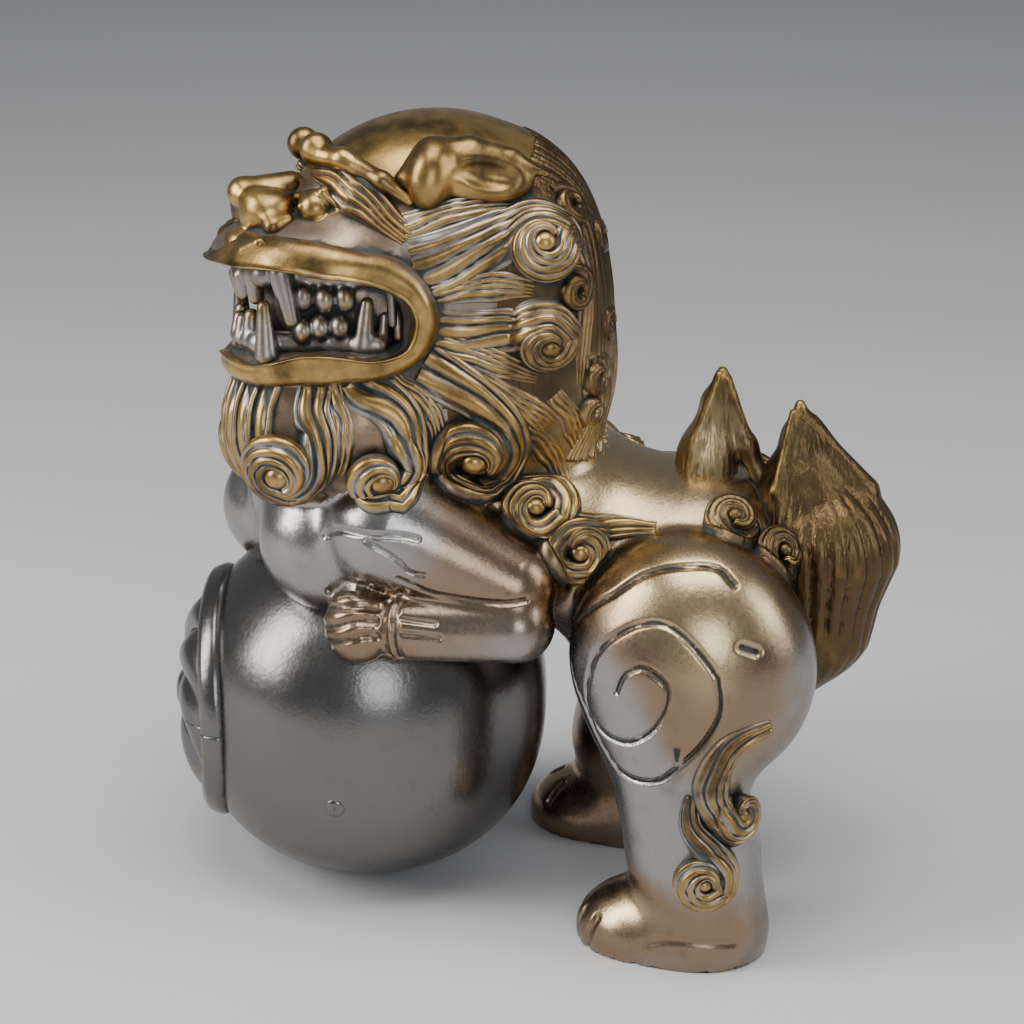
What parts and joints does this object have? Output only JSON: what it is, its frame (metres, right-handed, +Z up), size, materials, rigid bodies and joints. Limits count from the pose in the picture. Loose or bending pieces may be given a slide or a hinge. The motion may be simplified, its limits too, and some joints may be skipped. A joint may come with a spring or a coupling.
{
  "type": "guardian lion statue",
  "caption": "Cast brass guardian lion crouching with its forelegs over a ball, open mouth, curled mane and beard, flame tail, for a shelf or altar table.",
  "frame": {"origin": "on the table, at the middle of the statue's footprint box", "axes": "+Z up; the lion's chest faces -X and its tail is at +X, with its left side at -Y and its head turned towards -Y"},
  "size_m": [0.279, 0.162, 0.3028],
  "materials": {
    "body_bronze": "worn, hand-polished cast brass, silvery brown on the broad planes, dark verdigris in the creases",
    "ball_bronze": "smooth polished cast brass with a silvery grey patina and straw-coloured edges",
    "gilt_bronze": "high points rubbed to warm golden brass, dark grey-green patina in the grooves",
    "dark_bronze": "brown-patinated cast brass, golden along the ridges",
    "tooth_bronze": "dull grey cast brass with dark recesses"
  },
  "bodies": {
    "root": {"ball": "ball_bronze", "ball_medallion": "ball_bronze", "ball_plug": "ball_bronze", "chin_beard": "gilt_bronze", "head": "gilt_bronze", "left_brow": "gilt_bronze", "left_ear": "gilt_bronze", "left_eye": "gilt_bronze", "left_flank_curls": "gilt_bronze", "left_foreleg": "body_bronze", "left_forepaw": "body_bronze", "left_front_beard_curl": "gilt_bronze", "left_hind_leg": "body_bronze", "left_leg_curls": "gilt_bronze", "left_lower_mane_lock": "gilt_bronze", "left_middle_beard_curl": "gilt_bronze", "left_rear_beard_curl": "gilt_bronze", "left_tail_curls": "dark_bronze", "left_upper_mane_lock": "gilt_bronze", "lower_teeth": "tooth_bronze", "mane_cape": "dark_bronze", "mouth_rim": "gilt_bronze", "nape_curls": "dark_bronze", "nose": "gilt_bronze", "right_brow": "gilt_bronze", "right_ear": "gilt_bronze", "right_eye": "gilt_bronze", "right_flank_curls": "gilt_bronze", "right_foreleg": "body_bronze", "right_forepaw": "body_bronze", "right_front_beard_curl": "gilt_bronze", "right_hind_leg": "body_bronze", "right_leg_curls": "gilt_bronze", "right_lower_mane_lock": "gilt_bronze", "right_middle_beard_curl": "gilt_bronze", "right_rear_beard_curl": "gilt_bronze", "right_tail_curls": "dark_bronze", "right_upper_mane_lock": "gilt_bronze", "tail_front_flame": "dark_bronze", "tail_rear_flame": "dark_bronze", "torso": "body_bronze", "upper_teeth": "tooth_bronze"}
  },
  "joints": []
}
